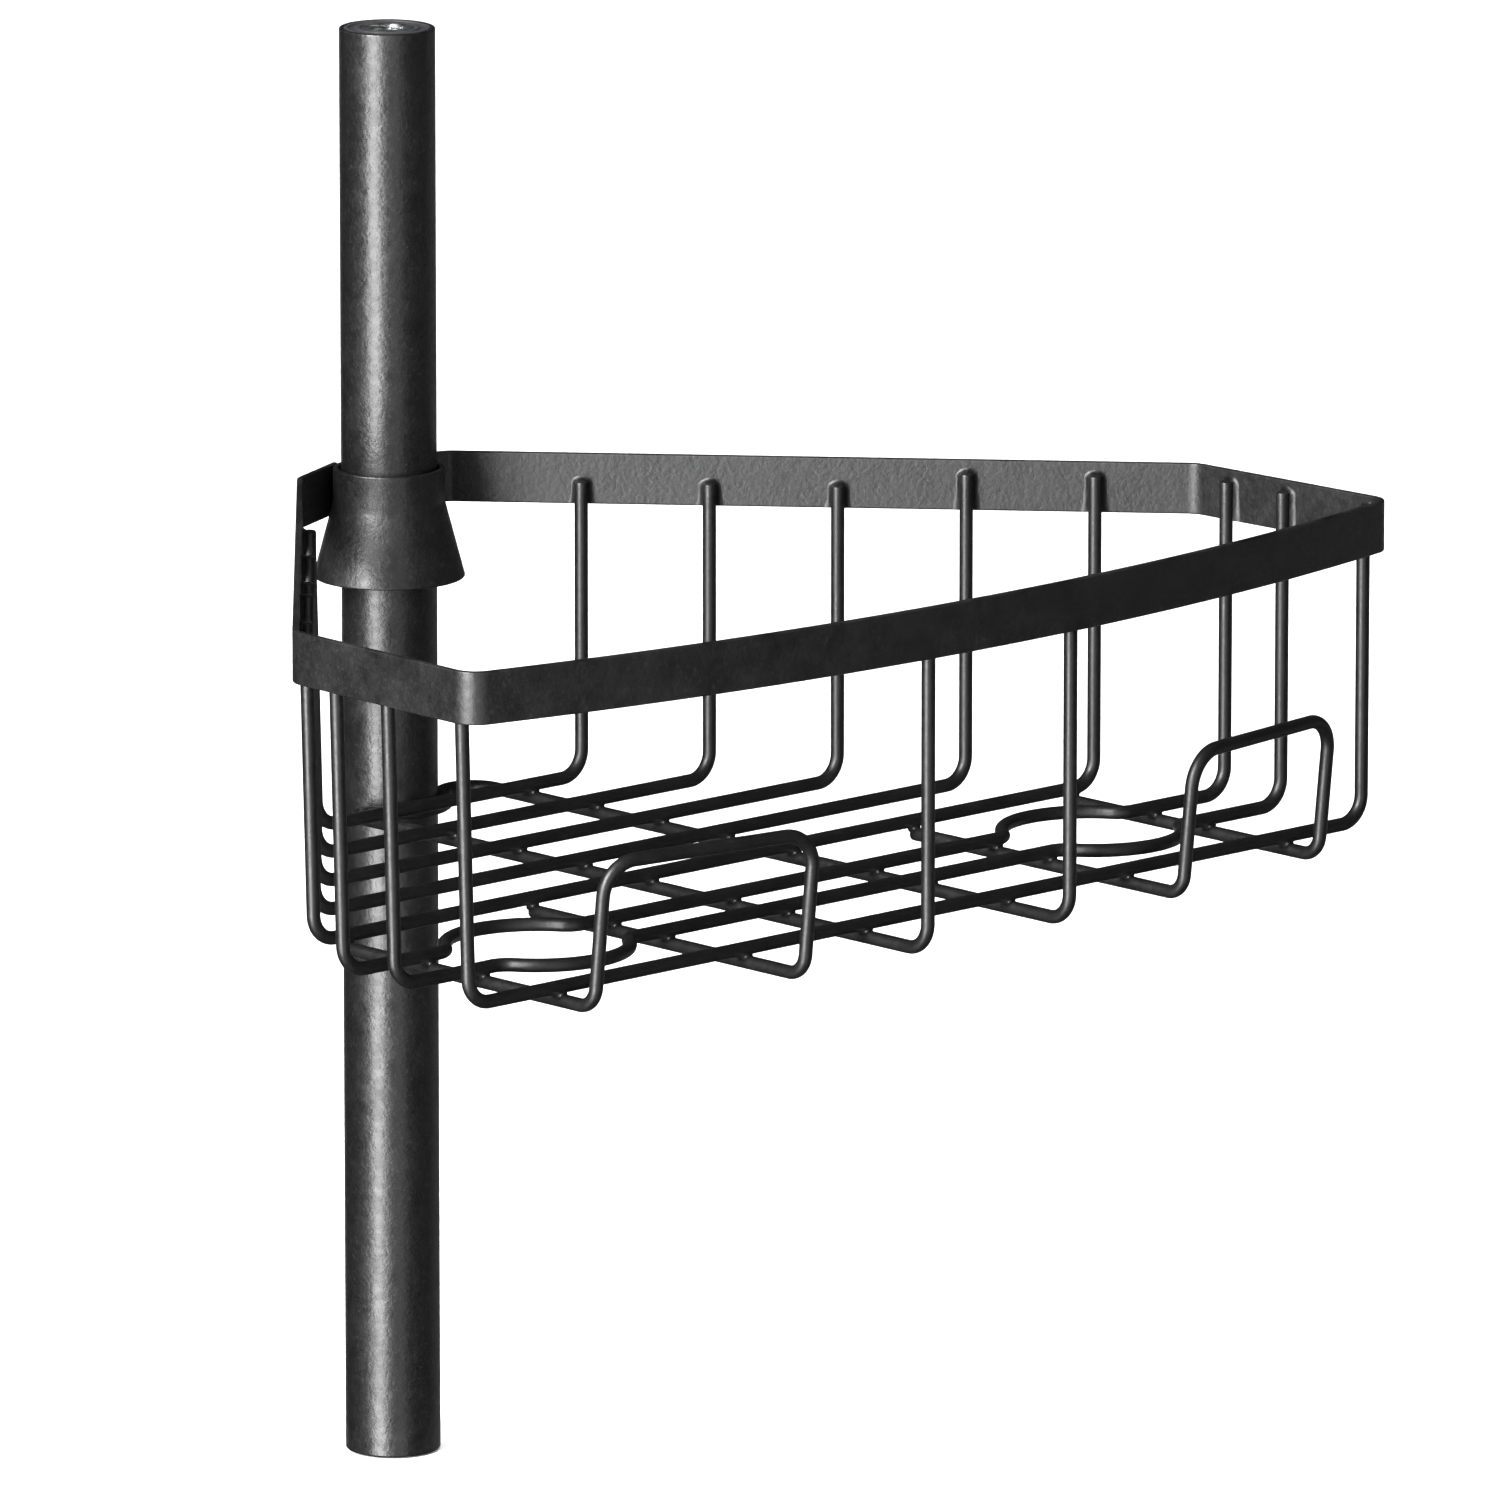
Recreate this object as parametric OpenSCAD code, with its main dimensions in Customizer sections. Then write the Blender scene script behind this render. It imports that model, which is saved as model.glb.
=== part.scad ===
/* [Pole] */
// Outside diameter of the pole tube
pole_d = 25; // [22:0.5:28]
// Wall thickness of the pole tube
pole_wall = 1.2; // [1:0.1:1.5]
// Length of this pole section
pole_len = 379; // [360:1:420]
// Bore of the threaded inserts in the pole ends (M10 core)
insert_bore_d = 8.5; // [8:0.1:9]
// Depth of the end plugs inside the tube
plug_len = 28; // [20:1:40]

/* [Basket rim] */
// Height of the rim's top edge above the pole's lower end at rest
rim_z = 263; // [240:1:270]
// Height of the flat rim band
band_h = 13.5; // [12:0.5:13.5]
// Thickness of the flat rim band
band_t = 1.6; // [1.2:0.1:2]
// Half width of the rim at its rear corners, beside the pole
rear_x = 26.3; // [25:0.1:30]
// Distance of those rear corners behind the pole axis
rear_y = 5.3; // [4:0.1:7]
// Half width of the rim where the two legs end
leg_x = 157.2; // [150:0.1:165]
// Distance of the leg ends in front of the pole axis
leg_y = 140.2; // [130:0.1:145]
// Half width of the rim at its front corners
front_x = 159.8; // [152:0.1:165]
// Distance of the front corners in front of the pole axis
front_y = 207.5; // [202:0.1:210]
// How far the bowed front bulges beyond its corners
bow = 19; // [12:1:25]

/* [Wires] */
// Diameter of every wire
wire_d = 3.6; // [3.2:0.1:3.8]
// Depth of the basket, from rim top to the axis of the upper floor wires
floor_drop = 85.5; // [80:0.1:90]
// Inside radius plus half a wire for the bends of the floor wires
bend_r = 7; // [6:0.5:9]
// Distance of the first floor wire in front of the pole axis
first_wire_y = 22.2; // [21:0.1:23]
// Pitch of the first five floor wires
wire_pitch = 25; // [24:0.1:26]
// Distance of the wire behind the bottle holes from the pole axis
hole_rear_wire_y = 153; // [150:0.1:154]
// Distance of the wire in front of the bottle holes from the pole axis
hole_front_wire_y = 173; // [171:0.1:175]
// Distance of the last floor wire from the pole axis
last_wire_y = 201.4; // [199:0.1:202]
// How far the left side wall leans in at the floor
lean_left = 2; // [0:0.5:4]
// How far the right side wall leans in at the floor
lean_right = 0; // [0:0.5:4]
// Sideways offset of the lower wires from the centre line
lower_shift = 5.5; // [-6:0.5:6]
// Distance between the two runs of the pole loop, halved
loop_half = 25; // [22:0.5:27]

/* [Bottle holes and guards] */
// Distance of each round bottle hole from the centre line
hole_x = 97; // [92:1:100]
// Radius of a bottle hole, to the wire axis
hole_r = 23.3; // [20:0.1:24]
// Half the distance between the feet of the right guard
guard_half_right = 28.7; // [26:0.1:33]
// Half the distance between the feet of the left guard
guard_half_left = 31.5; // [26:0.1:33]
// Sideways offset of both guards from the bottle holes
guard_shift = 4.5; // [-5:0.5:5]
// Height of a guard above the lower floor wires
guard_h = 37.3; // [25:0.1:45]

/* [Collar and clip] */
// Outside diameter of the collar's straight neck
neck_d = 29.2; // [28.6:0.1:30]
// Height of that neck
neck_h = 9; // [6:1:10]
// Outside diameter of the collar's lower edge
flare_d = 39.8; // [36:0.2:42]
// Full height of the collar
collar_h = 29; // [25:1:35]
// Wall of the collar
collar_wall = 1.5; // [1.2:0.1:1.5]
// Clearance between the collar and the taper clip
seat_gap = 0.25; // [0.2:0.05:0.4]

/* [Hidden] */
$fn = 64;

pole_r = pole_d / 2;
wr = wire_d / 2;
tiny = 0.02;
z1 = rim_z - floor_drop;            // axis of the upper floor wires
z2 = z1 - wire_d;                   // axis of the lower floor wires
neck_r = neck_d / 2;
flare_r = flare_d / 2;
neck_in = neck_r - collar_wall;
flare_in = flare_r - collar_wall;
black = [0.10, 0.10, 0.105];
black_wire = [0.12, 0.12, 0.125];
nylon = [0.22, 0.22, 0.23];
soft = [0.30, 0.30, 0.31];
zinc = [0.72, 0.73, 0.74];

// ---- vectors, rounded corners and swept wires ----
function unit(v) = v / norm(v);
function turn(a, b, c) = acos(max(-1, min(1, unit(b - a) * unit(c - b))));
// Points of a rounded corner at b, radius r, in n steps; r = 0 keeps the corner
function corner(a, b, c, r, n) =
    r <= 0 ? [b] :
    let (u = unit(b - a), w = unit(c - b), th = turn(a, b, c), t = r * tan(th / 2),
         m = unit(w - u), ctr = b + m * r / cos(th / 2), e = unit(b - u * t - ctr))
    [for (i = [0:n]) ctr + r * (e * cos(th * i / n) + u * sin(th * i / n))];
// Path through the corners p with radii r and step counts n
function path(p, r, n) = [
    p[0],
    for (i = [1:len(p) - 2]) each corner(p[i - 1], p[i], p[i + 1], r[i - 1], n[i - 1]),
    p[len(p) - 1]];
// The same path with a short chamfer step at each free end
function tipped(p) = let (k = len(p) - 1, c = wr * 0.35)
    [p[0], p[0] + unit(p[1] - p[0]) * c, for (i = [1:k - 1]) p[i], p[k] + unit(p[k - 1] - p[k]) * c, p[k]];
function tangents(p) = let (k = len(p) - 1)
    [for (i = [0:k]) i == 0 ? unit(p[1] - p[0]) : i == k ? unit(p[k] - p[k - 1])
        : unit(unit(p[i + 1] - p[i]) + unit(p[i] - p[i - 1]))];
function across(t, v) = unit(v - (v * t) * t);
function sides(t) = let (k = len(t),
    s0 = across(t[0], abs(t[0][2]) > 0.9 ? [1, 0, 0] : [0, 0, 1]))
    [for (i = 0, s = s0; i < k; i = i + 1, s = i < k ? across(t[i], s) : s) s];
// A round wire of diameter d swept along the points p, with m sides
module wire(p, d, m = 12) {
    q = tipped(p);
    t = tangents(q);
    s = sides(t);
    k = len(q);
    pts = [for (i = [0:k - 1]) let (b = cross(t[i], s[i]), rr = (i == 0 || i == k - 1) ? d / 2 * 0.7 : d / 2)
        for (j = [0:m - 1]) q[i] + rr * (s[i] * cos(360 * j / m) + b * sin(360 * j / m))];
    polyhedron(points = pts, convexity = 6, faces = concat(
        [[for (j = [0:m - 1]) j]],
        [for (i = [0:k - 2]) for (j = [0:m - 1])
            [i * m + j, (i + 1) * m + j, (i + 1) * m + (j + 1) % m, i * m + (j + 1) % m]],
        [[for (j = [m - 1:-1:0]) (k - 1) * m + j]]));
}

// ---- rim outline, seen from above ----
bow_r = (front_x * front_x + bow * bow) / (2 * bow);
bow_half = asin(front_x / bow_r);
function bow_y(x) = -front_y - (sqrt(bow_r * bow_r - x * x) - (bow_r - bow));
rear_r = neck_r + 0.05 + band_t / 2;
rear_ang = atan2(rear_y, rear_x) + acos(rear_r / norm([rear_x, rear_y]));
rear_end = rear_r * [cos(rear_ang), sin(rear_ang)];
bow_pts = [for (i = [1:19]) let (a = bow_half * (1 - i / 10)) [bow_r * sin(a), bow_y(bow_r * sin(a))]];
rim_corners = concat([rear_end, [rear_x, rear_y], [leg_x, -leg_y], [front_x, -front_y]], bow_pts,
    [[-front_x, -front_y], [-leg_x, -leg_y], [-rear_x, rear_y], [-rear_end[0], rear_end[1]]]);
rim_radii = concat([5, 7, 6], [for (i = [1:19]) 0], [6, 7, 5]);
rim_steps = concat([4, 5, 10], [for (i = [1:19]) 1], [10, 5, 4]);
rim_path = path(rim_corners, rim_radii, rim_steps);
function edge_offset(p, o) = let (k = len(p) - 1)
    [for (i = [0:k]) let (
        u = i == 0 ? unit(p[1] - p[0]) : unit(p[i] - p[i - 1]),
        w = i == k ? u : unit(p[i + 1] - p[i]),
        m = unit(u + w))
        p[i] + o / (m * u) * [-m[1], m[0]]];

// Half width, at distance y in front of the axis, of the line the wires' tops follow
leg_dir = unit([leg_x - rear_x, -(leg_y + rear_y)]);
wire_in = band_t / 2 + wr + tiny;
function top_x(y) = y < leg_y - 2
    ? rear_x + (y + rear_y) * leg_dir[0] / -leg_dir[1] + wire_in / leg_dir[1]
    : leg_x + (y - leg_y) * (front_x - leg_x) / (front_y - leg_y) - wire_in;

// ---- wires of the basket ----
// A plain floor wire: down one side wall, across the floor, up the other
module floor_wire(y, tip) color(black_wire) {
    x = top_x(y);
    xr = x - lean_right;
    xl = lean_left - x;
    wire(path([[x, -y, rim_z - tip], [x, -y, rim_z - band_h], [xr, -y, z1], [xl, -y, z1],
        [-x, -y, rim_z - band_h], [-x, -y, rim_z - tip]],
        [0, bend_r, bend_r, 0], [1, 6, 6, 1]), wire_d);
}
// A floor wire that swings round both bottle holes; side = 1 behind them, -1 in front
module hole_wire(y, side, tip) color(black_wire) {
    x = top_x(y);
    hole_y = (hole_rear_wire_y + hole_front_wire_y) / 2;
    h = side * (hole_y - y);                   // from hole centre to the wire's line
    ease = 6;                                  // radius of the bends into the ring
    a = acos((h + ease) / (hole_r + ease));    // half the ring's arc
    apex = hole_r / cos(a);
    foot = (apex - h) / tan(a);
    yy = -hole_y + side * apex;
    wire(path([
        [x, -y, rim_z - tip], [x, -y, rim_z - band_h], [x - lean_right, -y, z1],
        [hole_x + foot, -y, z1], [hole_x, yy, z1], [hole_x - foot, -y, z1],
        [-hole_x + foot, -y, z1], [-hole_x, yy, z1], [-hole_x - foot, -y, z1],
        [lean_left - x, -y, z1], [-x, -y, rim_z - band_h], [-x, -y, rim_z - tip]],
        [0, bend_r, ease, hole_r, ease, ease, hole_r, ease, bend_r, 0],
        [1, 6, 4, 10, 4, 4, 10, 4, 6, 1]), wire_d);
}
module floor_wire_1() floor_wire(first_wire_y, 7);
module floor_wire_2() floor_wire(first_wire_y + wire_pitch, 7);
module floor_wire_3() floor_wire(first_wire_y + 2 * wire_pitch, 7);
module floor_wire_4() floor_wire(first_wire_y + 3 * wire_pitch, 3.2);
module floor_wire_5() floor_wire(first_wire_y + 4 * wire_pitch, 3.2);
module floor_wire_6() hole_wire(hole_rear_wire_y, 1, 2.6);
module floor_wire_7() hole_wire(hole_front_wire_y, -1, 2.6);
module floor_wire_8() floor_wire(last_wire_y, 2.6);

// The wire that braces the floor against the pole: two front risers, two long
// runs back, and a notch between two small lobes that hugs the pole
hug = pole_r + wr + 0.5;            // radius of the notch, to the wire axis
function lobe_r(x) = max(4, (x - hug) / 2 + 0.65);
// Point where a lobe of a run at x hands over to the notch
function notch_in(x) = let (l = lobe_r(x), y = -sqrt((hug + l) * (hug + l) - (x - l) * (x - l)))
    [x - l, y] * hug / (hug + l);
// Corner between that tangent and the run itself
function lobe_out(x) = let (t = notch_in(x)) t[1] - (x - t[0]) * t[0] / t[1];
module pole_loop_wire() color(black_wire) {
    xr = loop_half + lower_shift;
    xl = loop_half - lower_shift;
    tr = notch_in(xr);
    tl = notch_in(xl);
    ar = atan2(tr[1], tr[0]);
    al = -180 - atan2(tl[1], tl[0]);
    top = hug / cos((ar - al) / 2);
    fr = bow_y(xr) + wire_in;
    fl = bow_y(xl) + wire_in;
    wire(path([
        [xr, fr, rim_z - 2.6], [xr, fr, z2],
        [xr, lobe_out(xr), z2], [top * cos((ar + al) / 2), top * sin((ar + al) / 2), z2], [-xl, lobe_out(xl), z2],
        [-xl, fl, z2], [-xl, fl, rim_z - 2.6]],
        [bend_r, lobe_r(xr), hug, lobe_r(xl), bend_r], [6, 12, 12, 12, 6]), wire_d);
}

// A guard: two runs under the floor, turned up at the front and joined by a bar
module guard_wire(side) color(black_wire) {
    half = side > 0 ? guard_half_right : guard_half_left;
    xi = hole_x - half + side * guard_shift;
    xo = hole_x + half + side * guard_shift;
    back = -(first_wire_y + 4 * wire_pitch) + 0.5;
    yi = bow_y(xi) + 1.5;
    yo = bow_y(xo) + 1.5;
    lean = 4;                                  // the bar stands this far forward of the feet
    wire(path([
        [side * xi, back, z2], [side * xi, yi, z2],
        [side * xi, yi - lean, z2 + guard_h], [side * xo, yo - lean, z2 + guard_h],
        [side * xo, yo, z2], [side * xo, back, z2]],
        [bend_r - 1, bend_r + 2, bend_r + 2, bend_r - 1], [6, 7, 7, 6]), wire_d);
}
module guard_wire_left() guard_wire(-1);
module guard_wire_right() guard_wire(1);

// ---- rim band and collar ----
module cone_cut(r_add) {
    translate([0, 0, rim_z - collar_h]) cylinder(h = collar_h - neck_h, r1 = flare_r + r_add, r2 = neck_r + r_add);
}
// Flat strip bent round the basket; its two ends lap the collar's neck and are
// coped away where the collar flares
module rim_band() color(black) {
    difference() {
        translate([0, 0, rim_z - band_h]) linear_extrude(band_h)
            polygon(concat(edge_offset(rim_path, band_t / 2),
                [for (i = [len(rim_path) - 1:-1:0]) edge_offset(rim_path, -band_t / 2)[i]]));
        cone_cut(0.15);
    }
}
// Collar: short straight neck over a flared skirt, one spun sheet
module collar_cone() color(black) {
    e = 0.4;
    translate([0, 0, rim_z]) rotate_extrude()
        polygon([[neck_in, -neck_h], [neck_in, -e], [neck_in + e, 0], [neck_r - e, 0], [neck_r, -e], [neck_r, -neck_h],
                 [flare_r, -collar_h + e], [flare_r - e, -collar_h], [flare_in, -collar_h]]);
}
// Two beads that join the ends of the rim band to the neck
module collar_weld() color(black) {
    d = unit([rear_end[0], rear_end[1]] - [rear_x, rear_y]);
    for (s = [-1, 1]) difference() {
        translate([s * (rear_end[0] + d[0] * 0.55), rear_end[1] + d[1] * 0.55, rim_z - 8.4]) cylinder(r = 1.35, h = 8);
        translate([0, 0, rim_z - 10]) cylinder(r = neck_r + tiny, h = 12);
        translate([s * rear_end[0], rear_end[1], rim_z - 10]) rotate([0, 0, atan2(d[1], s * d[0])])
            translate([-6 + tiny, -3, 0]) cube([6, 6, 12]);
    }
}

// ---- taper clip and its grip pads ----
clip_top = 15.5;                    // below the rim's top edge
clip_low = collar_h - 0.6;
function seat_r(drop) = neck_in + (flare_in - neck_in) * (drop - neck_h) / (collar_h - neck_h) - seat_gap;
module half_space(side, gap) {
    translate([side > 0 ? gap : -40 - gap, -40, 0]) cube([40, 80, 600]);
}
module clip_half(side) {
    difference() {
        intersection() {
            translate([0, 0, rim_z]) rotate_extrude()
                polygon([[pole_r + 0.1, -clip_top], [pole_r + 0.1, -clip_top - 1.5], [pole_r + 0.65, -clip_top - 1.5],
                         [pole_r + 0.65, -clip_low + 1.5], [pole_r + 0.1, -clip_low + 1.5], [pole_r + 0.1, -clip_low],
                         [seat_r(clip_low), -clip_low], [seat_r(clip_top), -clip_top]]);
            half_space(side, 0.15);
        }
        if (side > 0) for (s = [-1, 1])
            translate([0, s * 15.5, rim_z - clip_low + 3.4]) rotate([0, 90, 0]) cylinder(d = 2.2, h = 3.2);
    }
    if (side < 0) for (s = [-1, 1])
        translate([-1, s * 15.5, rim_z - clip_low + 3.4]) rotate([0, 90, 0]) cylinder(d = 2, h = 3.8);
}
module clip_half_left() color(nylon) clip_half(-1);
module clip_half_right() color(nylon) clip_half(1);
module grip_pad(side) {
    intersection() {
        translate([0, 0, rim_z - clip_low + 1.7]) difference() {
            cylinder(r = pole_r + 0.6, h = clip_low - clip_top - 3.4);
            translate([0, 0, -1]) cylinder(r = pole_r + 0.05, h = 40);
        }
        half_space(side, 0.8);
    }
}
module grip_pad_left() color(soft) grip_pad(-1);
module grip_pad_right() color(soft) grip_pad(1);

// ---- pole section ----
module pole_tube() color(black) {
    c = 0.4;
    ri = pole_r - pole_wall;
    rotate_extrude() polygon([[ri, 0], [pole_r - c, 0], [pole_r, c], [pole_r, pole_len - c], [pole_r - c, pole_len], [ri, pole_len]]);
}
// Nylon plug with two relief grooves, pressed into the tube end
module end_plug() {
    ro = pole_r - pole_wall - tiny;
    ri = 7 + tiny;
    rotate_extrude() polygon([[ri, 0], [ro, 0], [ro, 7], [ro - 1, 7.6], [ro - 1, 9.4], [ro, 10], [ro, 17], [ro - 1, 17.6],
        [ro - 1, 19.4], [ro, 20], [ro, plug_len - 1.5], [ro - 1.5, plug_len], [ri, plug_len]]);
}
module lower_plug() color(nylon) end_plug();
module upper_plug() color(nylon) translate([0, 0, pole_len]) mirror([0, 0, 1]) end_plug();
// Steel insert with a waist, moulded into the plug
module thread_insert() {
    difference() {
        rotate_extrude() polygon([[0, 0], [7, 0], [7, 20], [0, 20]]);
        translate([0, 0, -1]) cylinder(d = insert_bore_d, h = 22);
    }
}
module lower_insert() color(zinc) thread_insert();
module upper_insert() color(zinc) translate([0, 0, pole_len]) mirror([0, 0, 1]) thread_insert();

pole_tube();
upper_plug();
lower_plug();
upper_insert();
lower_insert();
grip_pad_left();
grip_pad_right();
clip_half_left();
clip_half_right();
collar_cone();
collar_weld();
rim_band();
floor_wire_1();
floor_wire_2();
floor_wire_3();
floor_wire_4();
floor_wire_5();
floor_wire_6();
floor_wire_7();
floor_wire_8();
pole_loop_wire();
guard_wire_left();
guard_wire_right();
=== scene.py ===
import bpy, math, random
import numpy as np
from mathutils import Matrix, Vector, noise


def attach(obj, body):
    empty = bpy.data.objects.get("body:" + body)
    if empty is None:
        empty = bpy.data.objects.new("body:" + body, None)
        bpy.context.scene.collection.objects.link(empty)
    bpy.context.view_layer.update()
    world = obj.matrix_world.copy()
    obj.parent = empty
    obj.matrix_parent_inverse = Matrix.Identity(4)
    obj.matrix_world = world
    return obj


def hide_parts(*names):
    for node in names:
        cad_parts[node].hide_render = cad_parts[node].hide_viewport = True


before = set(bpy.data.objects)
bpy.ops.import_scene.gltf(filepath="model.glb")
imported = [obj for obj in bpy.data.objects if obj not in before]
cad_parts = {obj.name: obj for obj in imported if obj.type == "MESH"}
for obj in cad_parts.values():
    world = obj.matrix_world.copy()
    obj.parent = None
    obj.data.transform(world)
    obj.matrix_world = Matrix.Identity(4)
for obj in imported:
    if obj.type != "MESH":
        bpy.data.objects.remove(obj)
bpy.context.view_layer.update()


MM = 0.001

# ------------------------------------------------------------------ dimensions, in millimetres
POLE_R, POLE_WALL, POLE_LEN = 12.5, 1.2, 379.0
RIM_Z, BAND_H, BAND_T = 263.0, 13.5, 1.6
REAR_X, REAR_Y = 26.3, 5.3
LEG_X, LEG_Y = 157.2, 140.2
FRONT_X, FRONT_Y, BOW = 159.8, 207.5, 19.0
WR = 1.8
WIRE_D = 3.6
FLOOR_DROP, BEND_R = 85.5, 7.0
FIRST_Y, PITCH = 22.2, 25.0
HOLE_REAR_Y, HOLE_FRONT_Y, LAST_Y = 153.0, 173.0, 201.4
LEAN_LEFT, LEAN_RIGHT = 2.0, 0.0
LOWER_SHIFT, LOOP_HALF = 5.5, 25.0
HOLE_X, HOLE_R = 97.0, 23.3
GUARD_RIGHT, GUARD_LEFT, GUARD_SHIFT, GUARD_H = 28.7, 31.5, 4.5, 37.3
NECK_R, NECK_H, FLARE_R, COLLAR_H, COLLAR_WALL = 14.6, 9.0, 19.9, 29.0, 1.5
SEAT_GAP, PLUG_LEN = 0.25, 28.0
NECK_IN, FLARE_IN = NECK_R - COLLAR_WALL, FLARE_R - COLLAR_WALL
Z1 = RIM_Z - FLOOR_DROP
Z2 = Z1 - WIRE_D


def V(*a):
    return np.array(a, float)


def unit(v):
    return v / np.linalg.norm(v)


# ------------------------------------------------------------------ paths
def corner(a, b, c, r, n):
    if r <= 0:
        return [b]
    u, w = unit(b - a), unit(c - b)
    th = math.acos(max(-1.0, min(1.0, float(u @ w))))
    if th < 1e-4:
        return [b]
    t = r * math.tan(th / 2)
    m = unit(w - u)
    ctr = b + m * r / math.cos(th / 2)
    e = unit(b - u * t - ctr)
    return [ctr + r * (e * math.cos(th * i / n) + u * math.sin(th * i / n)) for i in range(n + 1)]


def path(p, r, n):
    out = [p[0]]
    for i in range(1, len(p) - 1):
        out += corner(p[i - 1], p[i], p[i + 1], r[i - 1], n[i - 1])
    out.append(p[-1])
    return out


def densify(p, step):
    out = [p[0]]
    for a, b in zip(p, p[1:]):
        k = max(1, int(math.ceil(np.linalg.norm(b - a) / step)))
        for i in range(1, k + 1):
            out.append(a + (b - a) * i / k)
    return out


# ------------------------------------------------------------------ rim outline
BOW_R = (FRONT_X ** 2 + BOW ** 2) / (2 * BOW)
BOW_HALF = math.asin(FRONT_X / BOW_R)
BOW_CY = -FRONT_Y + (BOW_R - BOW)


def bow_y(x):
    return BOW_CY - math.sqrt(BOW_R ** 2 - x * x)


REAR_R = NECK_R + 0.05 + BAND_T / 2
REAR_ANG = math.atan2(REAR_Y, REAR_X) + math.acos(REAR_R / math.hypot(REAR_X, REAR_Y))
REAR_END = REAR_R * V(math.cos(REAR_ANG), math.sin(REAR_ANG))
BOW_N = 60
BOW_PTS = [V(BOW_R * math.sin(a), BOW_CY - BOW_R * math.cos(a))
           for a in [BOW_HALF * (1 - 2 * i / BOW_N) for i in range(1, BOW_N)]]
LEG_DIR = unit(V(LEG_X - REAR_X, -(LEG_Y + REAR_Y)))
SIDE_DIR = unit(V(FRONT_X - LEG_X, -(FRONT_Y - LEG_Y)))
WIRE_IN = BAND_T / 2 + WR + 0.02


def rim_path():
    p = [REAR_END, V(REAR_X, REAR_Y), V(LEG_X, -LEG_Y), V(FRONT_X, -FRONT_Y)] + BOW_PTS + \
        [V(-FRONT_X, -FRONT_Y), V(-LEG_X, -LEG_Y), V(-REAR_X, REAR_Y), V(-REAR_END[0], REAR_END[1])]
    k = len(BOW_PTS)
    return path(p, [5, 7, 6] + [0] * k + [6, 7, 5], [12, 10, 20] + [1] * k + [20, 10, 12])


def top_x(y):
    if y < LEG_Y - 2:
        return REAR_X + (y + REAR_Y) * LEG_DIR[0] / -LEG_DIR[1] + WIRE_IN / LEG_DIR[1]
    return LEG_X + (y - LEG_Y) * (FRONT_X - LEG_X) / (FRONT_Y - LEG_Y) - WIRE_IN


# ------------------------------------------------------------------ wire routes
def floor_route(y, tip):
    x = top_x(y)
    low = RIM_Z - BAND_H
    return path([V(x, -y, RIM_Z - tip), V(x, -y, low), V(x - LEAN_RIGHT, -y, Z1), V(LEAN_LEFT - x, -y, Z1),
                 V(-x, -y, low), V(-x, -y, RIM_Z - tip)], [40, BEND_R, BEND_R, 40], [3, 16, 16, 3])


def hole_route(y, side, tip):
    x = top_x(y)
    low = RIM_Z - BAND_H
    hy = (HOLE_REAR_Y + HOLE_FRONT_Y) / 2
    h = side * (hy - y)
    ease = 6.0
    a = math.acos((h + ease) / (HOLE_R + ease))
    apex = HOLE_R / math.cos(a)
    foot = (apex - h) / math.tan(a)
    yy = -hy + side * apex
    return path([V(x, -y, RIM_Z - tip), V(x, -y, low), V(x - LEAN_RIGHT, -y, Z1),
                 V(HOLE_X + foot, -y, Z1), V(HOLE_X, yy, Z1), V(HOLE_X - foot, -y, Z1),
                 V(-HOLE_X + foot, -y, Z1), V(-HOLE_X, yy, Z1), V(-HOLE_X - foot, -y, Z1),
                 V(LEAN_LEFT - x, -y, Z1), V(-x, -y, low), V(-x, -y, RIM_Z - tip)],
                [40, BEND_R, ease, HOLE_R, ease, ease, HOLE_R, ease, BEND_R, 40],
                [3, 16, 12, 40, 12, 12, 40, 12, 16, 3])


HUG = POLE_R + WR + 0.5


def lobe_r(x):
    return max(4.0, (x - HUG) / 2 + 0.65)


def notch_in(x):
    l = lobe_r(x)
    y = -math.sqrt((HUG + l) ** 2 - (x - l) ** 2)
    return V(x - l, y) * HUG / (HUG + l)


def lobe_out(x):
    t = notch_in(x)
    return t[1] - (x - t[0]) * t[0] / t[1]


def loop_route():
    xr, xl = LOOP_HALF + LOWER_SHIFT, LOOP_HALF - LOWER_SHIFT
    tr, tl = notch_in(xr), notch_in(xl)
    ar = math.atan2(tr[1], tr[0])
    al = -math.pi - math.atan2(tl[1], tl[0])
    top = HUG / math.cos((ar - al) / 2)
    m = (ar + al) / 2
    fr, fl = bow_y(xr) + WIRE_IN, bow_y(xl) + WIRE_IN
    tip = RIM_Z - 2.6
    return path([V(xr, fr, tip), V(xr, fr, Z2), V(xr, lobe_out(xr), Z2), V(top * math.cos(m), top * math.sin(m), Z2),
                 V(-xl, lobe_out(xl), Z2), V(-xl, fl, Z2), V(-xl, fl, tip)],
                [BEND_R, lobe_r(xr), HUG, lobe_r(xl), BEND_R], [16, 26, 40, 22, 16])


def guard_route(side):
    half = GUARD_RIGHT if side > 0 else GUARD_LEFT
    xi = HOLE_X - half + side * GUARD_SHIFT
    xo = HOLE_X + half + side * GUARD_SHIFT
    back = -(FIRST_Y + 4 * PITCH) + 0.5
    yi, yo = bow_y(xi) + 1.5, bow_y(xo) + 1.5
    lean = 4.0
    return path([V(side * xi, back, Z2), V(side * xi, yi, Z2), V(side * xi, yi - lean, Z2 + GUARD_H),
                 V(side * xo, yo - lean, Z2 + GUARD_H), V(side * xo, yo, Z2), V(side * xo, back, Z2)],
                [BEND_R - 1, BEND_R + 2, BEND_R + 2, BEND_R - 1], [16, 18, 18, 16])


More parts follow.
